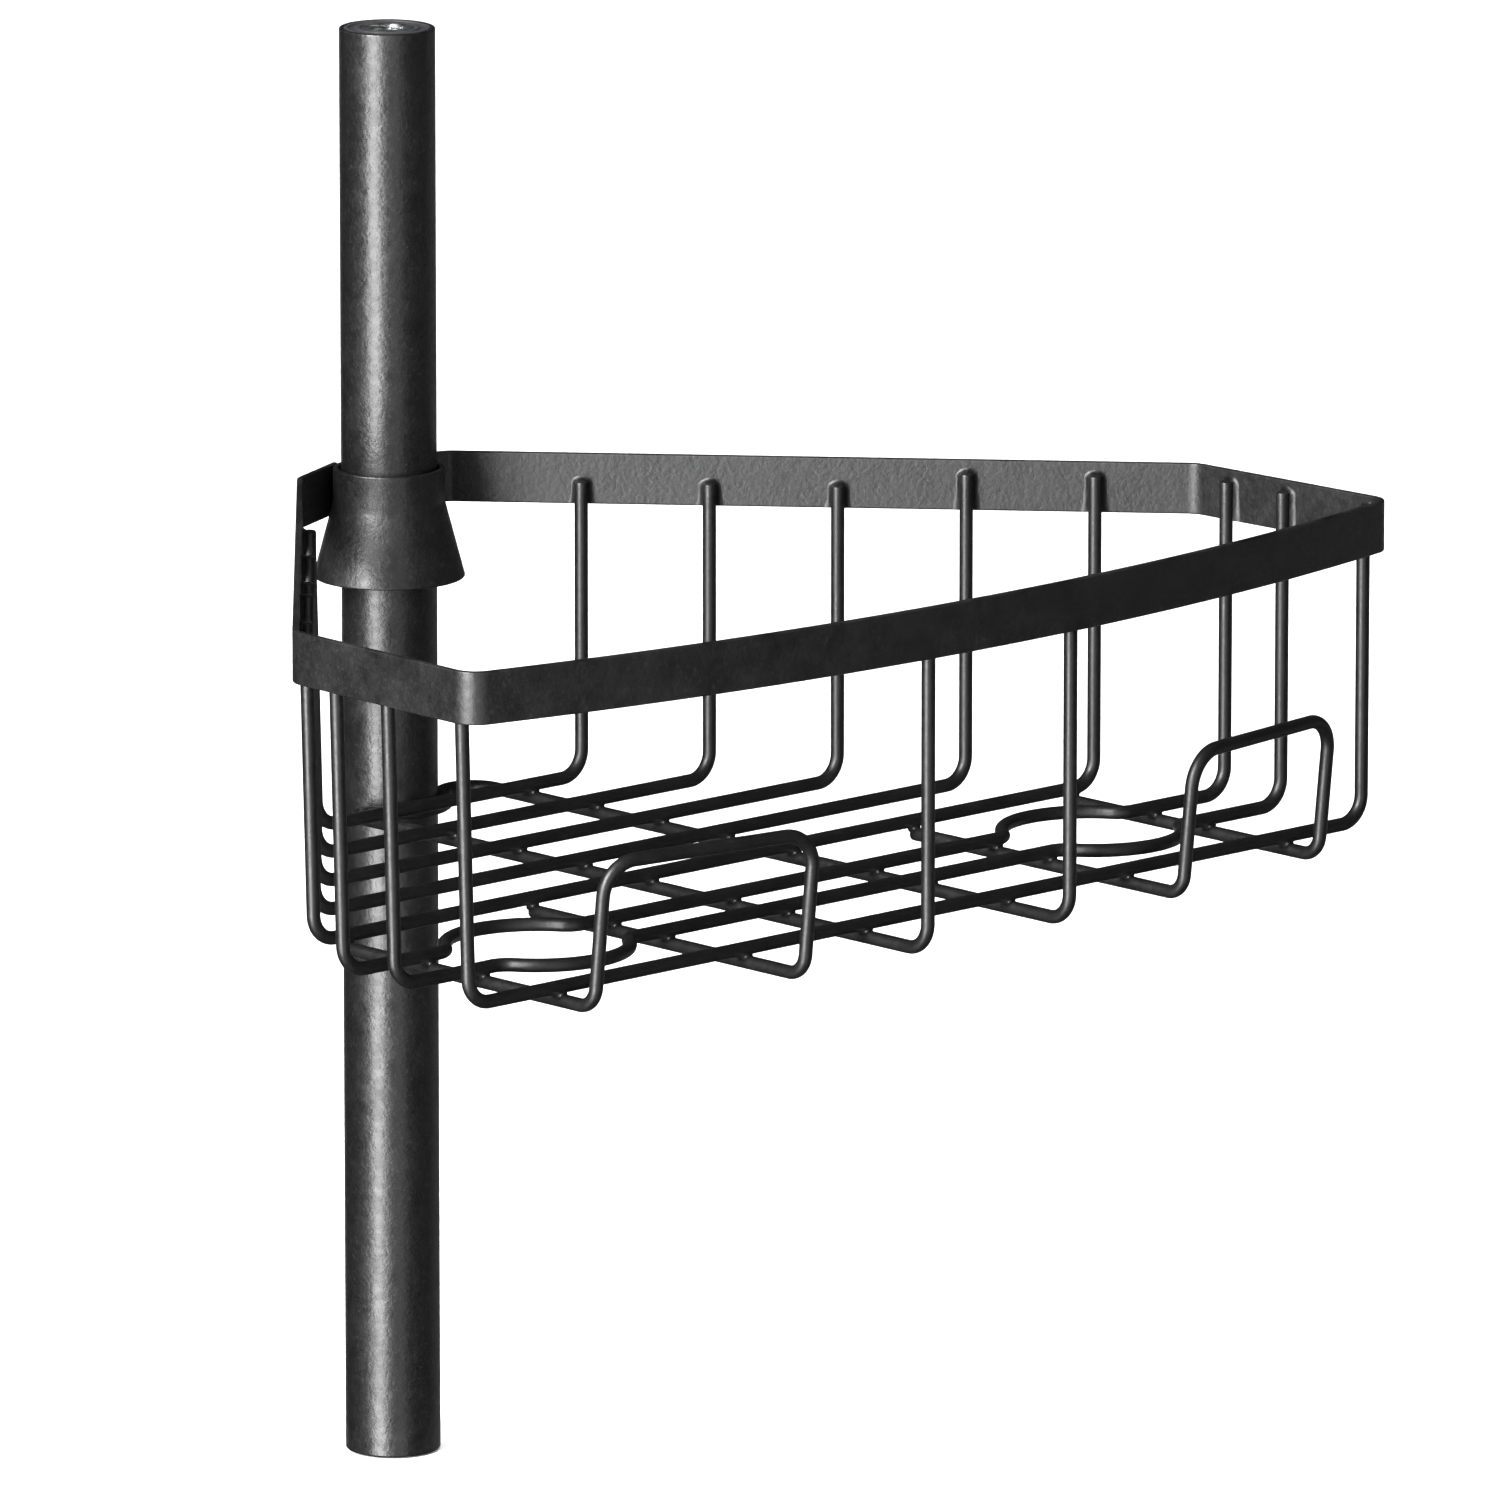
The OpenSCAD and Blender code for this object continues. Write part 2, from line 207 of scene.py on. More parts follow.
TIPS = {1: 7, 2: 7, 3: 7, 4: 3.2, 5: 3.2, 6: 2.6, 7: 2.6, 8: 2.6}
FLOOR_Y = {i: FIRST_Y + (i - 1) * PITCH for i in range(1, 6)}
FLOOR_Y.update({6: HOLE_REAR_Y, 7: HOLE_FRONT_Y, 8: LAST_Y})
ROUTES = {"floor_wire_%d" % i: floor_route(FLOOR_Y[i], TIPS[i]) for i in (1, 2, 3, 4, 5, 8)}
ROUTES["floor_wire_6"] = hole_route(HOLE_REAR_Y, 1, TIPS[6])
ROUTES["floor_wire_7"] = hole_route(HOLE_FRONT_Y, -1, TIPS[7])
ROUTES["pole_loop_wire"] = loop_route()
ROUTES["guard_wire_left"] = guard_route(-1)
ROUTES["guard_wire_right"] = guard_route(1)


# ------------------------------------------------------------------ mesh helpers
def build(name, verts, faces, wear=None, sharp=32.0, weighted=False):
    me = bpy.data.meshes.new(name)
    me.from_pydata([tuple(float(c) * MM for c in v) for v in verts], [], [tuple(int(i) for i in f) for f in faces])
    me.validate()
    att = me.attributes.new("wear", "FLOAT", "POINT")
    att.data.foreach_set("value", np.zeros(len(me.vertices), np.float32) if wear is None else np.array(wear, np.float32))
    me.polygons.foreach_set("use_smooth", [True] * len(me.polygons))
    me.set_sharp_from_angle(angle=math.radians(sharp))
    me.update()
    ob = bpy.data.objects.new(name, me)
    bpy.context.scene.collection.objects.link(ob)
    if weighted:
        mod = ob.modifiers.new("weighted", "WEIGHTED_NORMAL")
        mod.keep_sharp = True
        mod.weight = 60
    return ob


def merge(parts):
    """Several (verts, faces, wear) as one."""
    vs, fs, ws = [], [], []
    for v, f, w in parts:
        o = len(vs)
        vs += list(v)
        fs += [tuple(i + o for i in q) for q in f]
        ws += list(w)
    return vs, fs, ws


def grid_faces(rows, cols, close_rows, close_cols, base=0):
    out = []
    for i in range(rows if close_rows else rows - 1):
        for j in range(cols if close_cols else cols - 1):
            a, b = i * cols + j, i * cols + (j + 1) % cols
            i2 = (i + 1) % rows
            out.append((base + a, base + b, base + i2 * cols + (j + 1) % cols, base + i2 * cols + j))
    return out


def tube(points, r, m=28, swell=None):
    """A round wire with sheared, slightly rounded ends along the points."""
    p = densify(points, 7.0)
    seg = [np.linalg.norm(b - a) for a, b in zip(p, p[1:])]
    s = np.concatenate([[0], np.cumsum(seg)])
    total = s[-1]
    ends = [(0.0, 0.0, -0.0), (0.06, 0.62), (0.16, 0.82), (0.34, 0.94), (0.62, 1.0)]

    def at(d):
        i = min(len(seg) - 1, max(0, int(np.searchsorted(s, d) - 1)))
        return p[i] + (p[i + 1] - p[i]) * ((d - s[i]) / seg[i])

    rings = [(at(e[0]), e[1]) for e in ends[1:]]
    rings += [(q, 1.0) for q, d in zip(p, s) if 1.0 < d < total - 1.0]
    rings += [(at(total - e[0]), e[1]) for e in reversed(ends[1:])]
    pts = [q for q, _ in rings]
    k = len(pts)
    tang = []
    for i in range(k):
        a = pts[max(0, i - 1)]
        b = pts[min(k - 1, i + 1)]
        tang.append(unit(b - a))
    ref = V(0, 0, 1) if abs(tang[0][2]) < 0.9 else V(1, 0, 0)
    side = unit(ref - (ref @ tang[0]) * tang[0])
    verts, wear = [], []
    for i in range(k):
        side = unit(side - (side @ tang[i]) * tang[i])
        other = np.cross(tang[i], side)
        f = rings[i][1]
        for j in range(m):
            t = 2 * math.pi * j / m
            d = side * math.cos(t) + other * math.sin(t)
            q = pts[i]
            rr = r * f
            if f == 1.0:  # the coating is a little uneven
                n_ = noise.noise(Vector((q + d * r) * 0.22))
                rr -= 0.012 + 0.012 * n_
            verts.append(q + d * rr)
            wear.append(0.9 if f < 1.0 else 0.0)
    faces = grid_faces(k, m, False, True)
    a, b = len(verts), len(verts) + 1
    verts += [at(0.0), at(total)]
    wear += [0.9, 0.9]
    faces += [(a, (j + 1) % m, j) for j in range(m)]
    o = (k - 1) * m
    faces += [(b, o + j, o + (j + 1) % m) for j in range(m)]
    return verts, faces, wear


def round_loop(pts, radii, n=5):
    """A closed 2-D outline with rounded corners."""
    pts = [V(*p) for p in pts]
    out = []
    k = len(pts)
    for i in range(k):
        out += corner(pts[i - 1], pts[i], pts[(i + 1) % k], radii[i], n)
    return out


def lathe(profile, n=128, wear=None):
    """A closed profile of (radius, height) spun round the Z axis."""
    verts, w = [], []
    for i, (r, z) in enumerate(profile):
        for j in range(n):
            t = 2 * math.pi * j / n
            verts.append(V(r * math.cos(t), r * math.sin(t), z))
            w.append(wear[i] if wear else 0.0)
    return verts, grid_faces(len(profile), n, True, True), w


def half_lathe(profile, side, gap, n=64, wear=None):
    """Half a spun ring, cut flat at x = gap on its own side."""
    verts, w = [], []
    for i in range(n + 1):
        t = math.pi * (i / n - 0.5)
        for j, (r, z) in enumerate(profile):
            x = max(gap, r * math.cos(t))
            verts.append(V(side * x, r * math.sin(t), z))
            w.append(wear[j] if wear else 0.0)
    k = len(profile)
    faces = grid_faces(n + 1, k, False, True)
    faces.append(tuple(range(k)))
    faces.append(tuple(n * k + j for j in reversed(range(k))))
    return verts, faces, w


def fix_normals(ob):
    import bmesh
    bm = bmesh.new()
    bm.from_mesh(ob.data)
    bmesh.ops.dissolve_degenerate(bm, dist=1e-6, edges=bm.edges)
    bmesh.ops.recalc_face_normals(bm, faces=bm.faces)
    if bm.calc_volume(signed=True) < 0:
        bmesh.ops.reverse_faces(bm, faces=bm.faces)
    bm.to_mesh(ob.data)
    bm.free()


# ------------------------------------------------------------------ materials
def node_tree(name):
    mat = bpy.data.materials.new(name)
    mat.use_nodes = True
    nt = mat.node_tree
    bsdf = nt.nodes["Principled BSDF"]
    return mat, nt, bsdf


def noise_node(nt, coord, scale, detail, rough=0.5, distort=0.0):
    n = nt.nodes.new("ShaderNodeTexNoise")
    n.inputs["Scale"].default_value = scale
    n.inputs["Detail"].default_value = detail
    n.inputs["Roughness"].default_value = rough
    n.inputs["Distortion"].default_value = distort
    nt.links.new(coord, n.inputs["Vector"])
    return n.outputs["Fac"]


def remap(nt, value, a, b, c, d):
    n = nt.nodes.new("ShaderNodeMapRange")
    nt.links.new(value, n.inputs["Value"])
    for key, v in zip(("From Min", "From Max", "To Min", "To Max"), (a, b, c, d)):
        n.inputs[key].default_value = v
    return n.outputs["Result"]


def math_node(nt, op, a, b):
    n = nt.nodes.new("ShaderNodeMath")
    n.operation = op
    for i, v in enumerate((a, b)):
        if isinstance(v, (int, float)):
            n.inputs[i].default_value = v
        else:
            nt.links.new(v, n.inputs[i])
    return n.outputs[0]


def mix_color(nt, fac, a, b):
    n = nt.nodes.new("ShaderNodeMix")
    n.data_type = "RGBA"
    if isinstance(fac, (int, float)):
        n.inputs[0].default_value = fac
    else:
        nt.links.new(fac, n.inputs[0])
    for i, v in ((6, a), (7, b)):
        if isinstance(v, tuple):
            n.inputs[i].default_value = v
        else:
            nt.links.new(v, n.inputs[i])
    return n.outputs[2]


def tone(c, k):
    return (c[0] * k, c[1] * k, c[2] * k, 1.0)


def powder_coat(name, base, rough, grain=900.0, depth=0.00008, mottle=0.5):
    """Satin powder coat: a fine orange peel, soft patches in tone and gloss, rubbed edges."""
    mat, nt, b = node_tree(name)
    co = nt.nodes.new("ShaderNodeTexCoord").outputs["Object"]
    fine = noise_node(nt, co, grain, 2.0, 0.55)
    peel = noise_node(nt, co, grain * 0.50, 2.0, 0.5)
    patch = noise_node(nt, co, 120.0, 3.0, 0.6)
    broad = noise_node(nt, co, 16.0, 2.0, 0.5)
    wear_a = nt.nodes.new("ShaderNodeAttribute")
    wear_a.attribute_name = "wear"
    wear = math_node(nt, "MULTIPLY", wear_a.outputs["Fac"], remap(nt, patch, 0.40, 0.68, 0.0, 1.0))
    c = mix_color(nt, remap(nt, patch, 0.3, 0.7, 0.0, 1.0), tone(base, 1 - 0.34 * mottle), tone(base, 1 + 0.40 * mottle))
    c = mix_color(nt, remap(nt, broad, 0.35, 0.65, 0.0, 0.5), c, tone(base, 1.22))
    speck = remap(nt, fine, 0.60, 0.74, 0.0, 0.7)
    c = mix_color(nt, speck, c, tone(base, 3.0))
    c = mix_color(nt, wear, c, tone(base, 3.4))
    nt.links.new(c, b.inputs["Base Color"])
    r = math_node(nt, "ADD", remap(nt, patch, 0.3, 0.7, rough - 0.05, rough + 0.05), remap(nt, peel, 0.3, 0.7, -0.045, 0.045))
    r = math_node(nt, "SUBTRACT", r, math_node(nt, "MULTIPLY", wear, 0.10))
    nt.links.new(r, b.inputs["Roughness"])
    b1 = nt.nodes.new("ShaderNodeBump")
    b1.inputs["Strength"].default_value = 0.75
    b1.inputs["Distance"].default_value = depth
    nt.links.new(fine, b1.inputs["Height"])
    b2 = nt.nodes.new("ShaderNodeBump")
    b2.inputs["Strength"].default_value = 0.6
    b2.inputs["Distance"].default_value = depth * 1.6
    nt.links.new(peel, b2.inputs["Height"])
    nt.links.new(b1.outputs["Normal"], b2.inputs["Normal"])
    nt.links.new(b2.outputs["Normal"], b.inputs["Normal"])
    b.inputs["IOR"].default_value = 1.5
    return mat


def moulded(name, base, rough, grain, depth):
    """Moulded nylon or rubber with an eroded, slightly uneven surface."""
    mat, nt, b = node_tree(name)
    co = nt.nodes.new("ShaderNodeTexCoord").outputs["Object"]
    fine = noise_node(nt, co, grain, 4.0, 0.65)
    flow = noise_node(nt, co, 210.0, 2.0, 0.5, 1.4)
    wear_a = nt.nodes.new("ShaderNodeAttribute")
    wear_a.attribute_name = "wear"
    c = mix_color(nt, remap(nt, flow, 0.3, 0.7, 0.0, 1.0), tone(base, 0.82), tone(base, 1.25))
    c = mix_color(nt, math_node(nt, "MULTIPLY", wear_a.outputs["Fac"], remap(nt, fine, 0.4, 0.7, 0.1, 0.7)), c, tone(base, 2.6))
    nt.links.new(c, b.inputs["Base Color"])
    nt.links.new(remap(nt, fine, 0.3, 0.7, rough - 0.06, rough + 0.06), b.inputs["Roughness"])
    bump = nt.nodes.new("ShaderNodeBump")
    bump.inputs["Strength"].default_value = 0.6
    bump.inputs["Distance"].default_value = depth
    nt.links.new(fine, bump.inputs["Height"])
    nt.links.new(bump.outputs["Normal"], b.inputs["Normal"])
    return mat


def plated(name):
    """Zinc-plated steel: a fine grain and cloudy passivation."""
    mat, nt, b = node_tree(name)
    co = nt.nodes.new("ShaderNodeTexCoord").outputs["Object"]
    cloud = noise_node(nt, co, 340.0, 3.0, 0.6)
    fine = noise_node(nt, co, 2600.0, 2.0, 0.5)
    c = mix_color(nt, remap(nt, cloud, 0.3, 0.7, 0.0, 1.0), (0.52, 0.53, 0.55, 1.0), (0.68, 0.68, 0.66, 1.0))
    nt.links.new(c, b.inputs["Base Color"])
    b.inputs["Metallic"].default_value = 1.0
    nt.links.new(remap(nt, cloud, 0.3, 0.7, 0.26, 0.42), b.inputs["Roughness"])
    bump = nt.nodes.new("ShaderNodeBump")
    bump.inputs["Strength"].default_value = 0.4
    bump.inputs["Distance"].default_value = 0.00002
    nt.links.new(fine, bump.inputs["Height"])
    nt.links.new(bump.outputs["Normal"], b.inputs["Normal"])
    return mat


M_POLE = powder_coat("pole_coat", (0.0030, 0.0030, 0.0032), 0.375)
M_BAND = powder_coat("band_coat", (0.0030, 0.0030, 0.0032), 0.455, mottle=0.8)
M_COLLAR = powder_coat("collar_coat", (0.0032, 0.0032, 0.0034), 0.40)
M_WIRE = powder_coat("wire_coat", (0.0020, 0.0020, 0.0022), 0.43, grain=1400.0, depth=0.00003)
M_NYLON = moulded("nylon", (0.020, 0.020, 0.021), 0.48, 1500.0, 0.00004)
M_PAD = moulded("pad_rubber", (0.014, 0.014, 0.014), 0.72, 1100.0, 0.00008)
M_ZINC = plated("insert_zinc")


def finish_piece(ob, body, mat, nodes, normals=False):
    if normals:
        fix_normals(ob)
    ob.data.materials.append(mat)
    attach(ob, body)
    if nodes:
        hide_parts(*nodes)
    return ob


# ------------------------------------------------------------------ wires
for name, route in ROUTES.items():
    v, f, w = tube(route, WR)
    finish_piece(build(name + "_round", v, f, w, sharp=40), "basket", M_WIRE, [name], True)

# ------------------------------------------------------------------ welds where wires cross
random.seed(11)


def crossings(route, x):
    """Points where a floor wire's flat part passes over a lower run at that x."""
    out = []
    for a, b in zip(route, route[1:]):
        if abs(a[2] - Z1) < 0.05 and abs(b[2] - Z1) < 0.05 and (a[0] - x) * (b[0] - x) <= 0 and abs(a[0] - b[0]) > 1e-6:
            out.append((a + (b - a) * (x - a[0]) / (b[0] - a[0]), unit(b - a)))
    return out[:1]


def nugget(c, along, gap, m=36):
    """The bead of metal and coating between an upper wire (along a direction) and a lower one along Y."""
    e1 = unit(V(along[0], along[1], 0))
    rings = []
    levels = [(-1.0, 0.55), (-1.0, 1.02), (-0.72, 0.90), (-0.38, 0.83), (0.0, 0.805), (0.38, 0.83), (0.72, 0.90), (1.0, 1.02), (1.0, 0.55)]
    outline = []
    for j in range(m):
        t = 2 * math.pi * j / m
        dx, dy = math.cos(t), math.sin(t)
        g = gap * (1 + 0.16 * noise.noise(Vector((c[0] * 0.3 + dx, c[1] * 0.3 + dy, 3.1))))
        lo, hi = 0.1, 3.0
        for _ in range(30):
            mid = (lo + hi) / 2
            off_u = min(abs(mid * (dx * -e1[1] + dy * e1[0])), WR * 0.999)
            off_l = min(abs(mid * dx), WR * 0.999)
            tot = 2 * WR - math.sqrt(WR ** 2 - off_u ** 2) - math.sqrt(WR ** 2 - off_l ** 2)
            if tot < g:
                lo = mid
            else:
                hi = mid
        off_u = min(abs(lo * (dx * -e1[1] + dy * e1[0])), WR * 0.999)
        off_l = min(abs(lo * dx), WR * 0.999)
        outline.append((dx, dy, lo, WR - math.sqrt(WR ** 2 - off_u ** 2), -(WR - math.sqrt(WR ** 2 - off_l ** 2))))
    verts = []
    zc = (Z1 + Z2) / 2
    for lev, shrink in levels:
        for dx, dy, rho, zu, zl in outline:
            z = (zu + 0.06) * max(lev, 0) + (zl - 0.06) * max(-lev, 0)
            verts.append(V(c[0] + dx * rho * shrink, c[1] + dy * rho * shrink, zc + z))
    faces = grid_faces(len(levels), m, False, True)
    a = len(verts)
    verts += [V(c[0], c[1], zc - 0.9), V(c[0], c[1], zc + 0.9)]
    faces += [(a, (j + 1) % m, j) for j in range(m)]
    o = (len(levels) - 1) * m
    faces += [(a + 1, o + j, o + (j + 1) % m) for j in range(m)]
    return verts, faces, [0.0] * len(verts)


parts = []
lower_runs = []
xr, xl = LOOP_HALF + LOWER_SHIFT, LOOP_HALF - LOWER_SHIFT
lower_runs += [(xr, -8.0), (-xl, -8.0)]
for side, half in ((1, GUARD_RIGHT), (-1, GUARD_LEFT)):
    for s in (-1, 1):
        lower_runs.append((side * (HOLE_X + s * half + side * GUARD_SHIFT), -(FIRST_Y + 4 * PITCH) + 0.6))
for i in range(1, 9):
    for x, y_back in lower_runs:
        for c, along in crossings(ROUTES["floor_wire_%d" % i], x):
            if c[1] <= y_back + 0.2:
                parts.append(nugget(c, along, 1.10 + 0.22 * random.random()))
v, f, w = merge(parts)
finish_piece(build("crossing_welds", v, f, w, sharp=60), "basket", M_WIRE, [], True)


# ------------------------------------------------------------------ beads round the wire tips on the band
def bead(origin, normal, z_tip, z_low, seed):
    """A fillet that runs up one side of a wire, over its tip and down the other side, on the band's inner face."""
    n3 = V(normal[0], normal[1], 0)
    u3 = V(-normal[1], normal[0], 0)
    zc = z_tip - 1.25
    d0, d1 = 1.25, 3.05
    outline = []
    straight = max(1.0, zc - z_low)
    k1 = max(6, int(straight / 0.55))
    for i in range(k1):
        t = i / k1
        flare = 0.75 * (1 - t) ** 3
        outline.append((-1.0, 0.0, z_low + straight * t, flare, 0))
    for i in range(25):
        a = math.pi * (1 - i / 24)
        outline.append((math.cos(a), math.sin(a), zc, 0.0, 1))
    for i in range(k1, 0, -1):
        t = (i - 1) / k1
        flare = 0.75 * (1 - t) ** 3
        outline.append((1.0, 0.0, z_low + straight * t, flare, 2))
    steps = [0.0, 0.0, 0.18, 0.36, 0.54, 0.72, 0.88, 1.0, 1.0]
    verts = []
    for k, (cu, cv, zz, flare, part) in enumerate(outline):
        wob = 0.30 * noise.noise(Vector((k * 0.23 + seed, seed * 1.7, 0.3)))
        outer = d1 + flare + wob
        for q, t in enumerate(steps):
            d = outer + (d0 - outer) * t
            h = 1.45 * t * t * (1.0 + 0.25 * noise.noise(Vector((k * 0.35, t * 2.0, seed))))
            if q in (0, len(steps) - 1):
                h = -0.25
            elif q == 1:
                h = -0.02
            squash = 0.80 if part == 1 else 1.0
            verts.append(origin_point(origin, u3, n3, cu * d, zz + cv * d * squash, h))
    m = len(steps)
    faces = grid_faces(len(outline), m, False, True)
    faces.append(tuple(range(m)))
    o = (len(outline) - 1) * m
    faces.append(tuple(o + j for j in reversed(range(m))))
    return verts, faces, [0.0] * len(verts)


def origin_point(o, u3, n3, u, z, h):
    p = V(o[0], o[1], 0) + u3 * u + n3 * h
    p[2] = z
    return p


parts = []
low = RIM_Z - BAND_H
for i in range(1, 9):
    y = FLOOR_Y[i]
    for side in (1, -1):
        d = LEG_DIR if y < LEG_Y - 2 else SIDE_DIR
        nrm = V(side * d[1], -d[0])
        axis = V(side * top_x(y), -y)
        parts.append(bead(axis - nrm * (WR + 0.02), nrm, RIM_Z - TIPS[i], low + 0.25, i * 2.3 + side))
for x in (xr, -xl):
    nrm = unit(V(-x, BOW_CY - bow_y(x)))
    parts.append(bead(V(x, bow_y(x) + WIRE_IN) - nrm * (WR + 0.02), nrm, RIM_Z - 2.6, low + 0.25, 40 + x))
v, f, w = merge(parts)
finish_piece(build("tip_welds", v, f, w, sharp=60), "basket", M_WIRE, [], True)

# ------------------------------------------------------------------ rim band
rp = densify(rim_path(), 6.0)


def edge_offset(p, o):
    out = []
    k = len(p) - 1
    for i in range(k + 1):
        u = unit(p[1] - p[0]) if i == 0 else unit(p[i] - p[i - 1])
        w_ = u if i == k else unit(p[i + 1] - p[i])
        m = unit(u + w_)
        out.append(p[i] + o / float(m @ u) * V(-m[1], m[0]))
    return out


prof = round_loop([(-BAND_T / 2, -BAND_H), (BAND_T / 2, -BAND_H), (BAND_T / 2, 0), (-BAND_T / 2, 0)], [0.5] * 4, 6)
cols = [edge_offset(rp, float(o)) for o, _ in prof]
verts, wear = [], []
for i in range(len(rp)):
    for j, (o, z) in enumerate(prof):
        q = cols[j][i]
        verts.append(V(q[0], q[1], RIM_Z + z))
        wear.append(1.0 if abs(z + BAND_H / 2) > BAND_H / 2 - 0.42 else 0.0)
m = len(prof)
faces = grid_faces(len(rp), m, False, True)
faces.append(tuple(range(m)))
faces.append(tuple((len(rp) - 1) * m + j for j in reversed(range(m))))
finish_piece(build("rim_band_strip", verts, faces, wear, sharp=50, weighted=True), "basket", M_BAND, ["rim_band"], True)

# ------------------------------------------------------------------ collar
pr = round_loop([(NECK_IN, 0), (NECK_R, 0), (NECK_R, -NECK_H), (FLARE_R, -COLLAR_H), (FLARE_IN, -COLLAR_H), (NECK_IN, -NECK_H)],
                [0.45, 0.5, 9.0, 0.45, 0.45, 7.0], 8)
pr = densify(pr + [pr[0]], 2.5)[:-1]
wear = [0.3 if (z > -0.35 or z < -COLLAR_H + 0.3) else 0.0 for r, z in pr]
v, f, w = lathe([(r, RIM_Z + z) for r, z in pr], 144, wear)
finish_piece(build("collar_spun", v, f, w, sharp=50, weighted=True), "basket", M_COLLAR, ["collar_cone"], True)

# Two welds with ripples, one at each end of the rim band
parts = []
d2 = unit(REAR_END - V(REAR_X, REAR_Y))
for s in (-1, 1):
    c = REAR_END + d2 * 0.35
    out_dir = unit(REAR_END)
    m, rows = 28, 46
    verts = []
    for i in range(rows):
        t = i / (rows - 1)
        z = RIM_Z - 8.3 + 7.9 * t
        cap = math.sin(math.pi * min(1, max(0, t))) ** 0.28
        ripple = 0.13 * abs(math.sin(t * math.pi * 6.5))
        for j in range(m):
            a = 2 * math.pi * j / m
            rr = (1.18 + ripple) * cap * (1 + 0.10 * noise.noise(Vector((j * 0.4, t * 9, s))))
            q = V(c[0], c[1]) + rr * (d2 * math.cos(a) * 0.95 + V(-d2[1], d2[0]) * math.sin(a) * 0.85)
            verts.append(V(s * q[0], q[1], z))
    faces = grid_faces(rows, m, False, True)
    faces.append(tuple(range(m)))
    faces.append(tuple((rows - 1) * m + j for j in reversed(range(m))))
    parts.append((verts, faces, [0.0] * len(verts)))
v, f, w = merge(parts)
finish_piece(build("collar_weld_beads", v, f, w, sharp=60), "basket", M_COLLAR, ["collar_weld"], True)

# ------------------------------------------------------------------ pole section
RI = POLE_R - POLE_WALL
pr = round_loop([(RI, 0), (POLE_R, 0), (POLE_R, POLE_LEN), (RI, POLE_LEN)], [0.25, 0.5, 0.5, 0.25], 5)
pr = densify(pr + [pr[0]], 12.0)[:-1]
wear = [1.0 if (z < 0.5 or z > POLE_LEN - 0.5) else 0.0 for r, z in pr]
v, f, w = lathe(pr, 144, wear)
finish_piece(build("pole_tube_coated", v, f, w, sharp=50, weighted=True), "pole", M_POLE, ["pole_tube"], True)


def plug(z0, up):
    ro, ri = RI - 0.02, 7.02
    pts = [(ri, 0), (8.3, 0), (8.6, 0.45), (9.9, 0.45), (10.2, 0), (ro, 0), (ro, 7), (ro - 1, 7.6), (ro - 1, 9.4), (ro, 10), (ro, 17),
           (ro - 1, 17.6), (ro - 1, 19.4), (ro, 20), (ro, PLUG_LEN - 1.5), (ro - 1.5, PLUG_LEN), (ri, PLUG_LEN)]
    rad = [0.15, 0.2, 0.2, 0.2, 0.2, 0.3, 0.3, 0.3, 0.3, 0.3, 0.3, 0.3, 0.3, 0.3, 0.4, 0.4, 0.2]
    p = round_loop(pts, rad, 4)
    return lathe([(r, z0 + up * z) for r, z in p], 112, [0.4 if z < 0.2 else 0.0 for r, z in p])


def insert(z0, up):
    """Steel insert with a real internal thread of 1.5 mm pitch."""
    n, pitch, length = 64, 1.5, 20.0
    rows = [("o", 7.0 - 0.25, 0.0), ("o", 7.0, 0.25), ("o", 7.0, length - 0.25), ("o", 6.75, length)]
    k = 150
    rows += [("t", 0, length * (1 - i / k)) for i in range(k + 1)]
    verts = []
    for kind, r, z in rows:
        for j in range(n):
            a = 2 * math.pi * j / n
            rr = r
            if kind == "t":
                ph = (z / pitch - up * a / (2 * math.pi)) % 1.0
                tri = min(1.0, max(0.0, 1.30 - abs(ph - 0.5) * 3.6))
                rr = 4.25 + 0.70 * tri
                mouth = min(z, length - z)
                if mouth < 0.9:
                    rr = max(rr, 4.25 + 0.9 * (0.9 - mouth))
            verts.append(V(rr * math.cos(a), rr * math.sin(a), z0 + up * z))
    return verts, grid_faces(len(rows), n, True, True), [0.0] * len(verts)


for tag, z0, up in (("lower", 0.0, 1), ("upper", POLE_LEN, -1)):
    v, f, w = plug(z0, up)
    finish_piece(build(tag + "_plug_moulded", v, f, w, sharp=45, weighted=True), "pole", M_NYLON, [tag + "_plug"], True)
    v, f, w = insert(z0, up)
    finish_piece(build(tag + "_insert_threaded", v, f, w, sharp=35), "pole", M_ZINC, [tag + "_insert"], True)

# ------------------------------------------------------------------ taper clip and pads
CLIP_TOP, CLIP_LOW = 15.5, COLLAR_H - 0.6


def seat_r(drop):
    return NECK_IN + (FLARE_IN - NECK_IN) * (drop - NECK_H) / (COLLAR_H - NECK_H) - SEAT_GAP


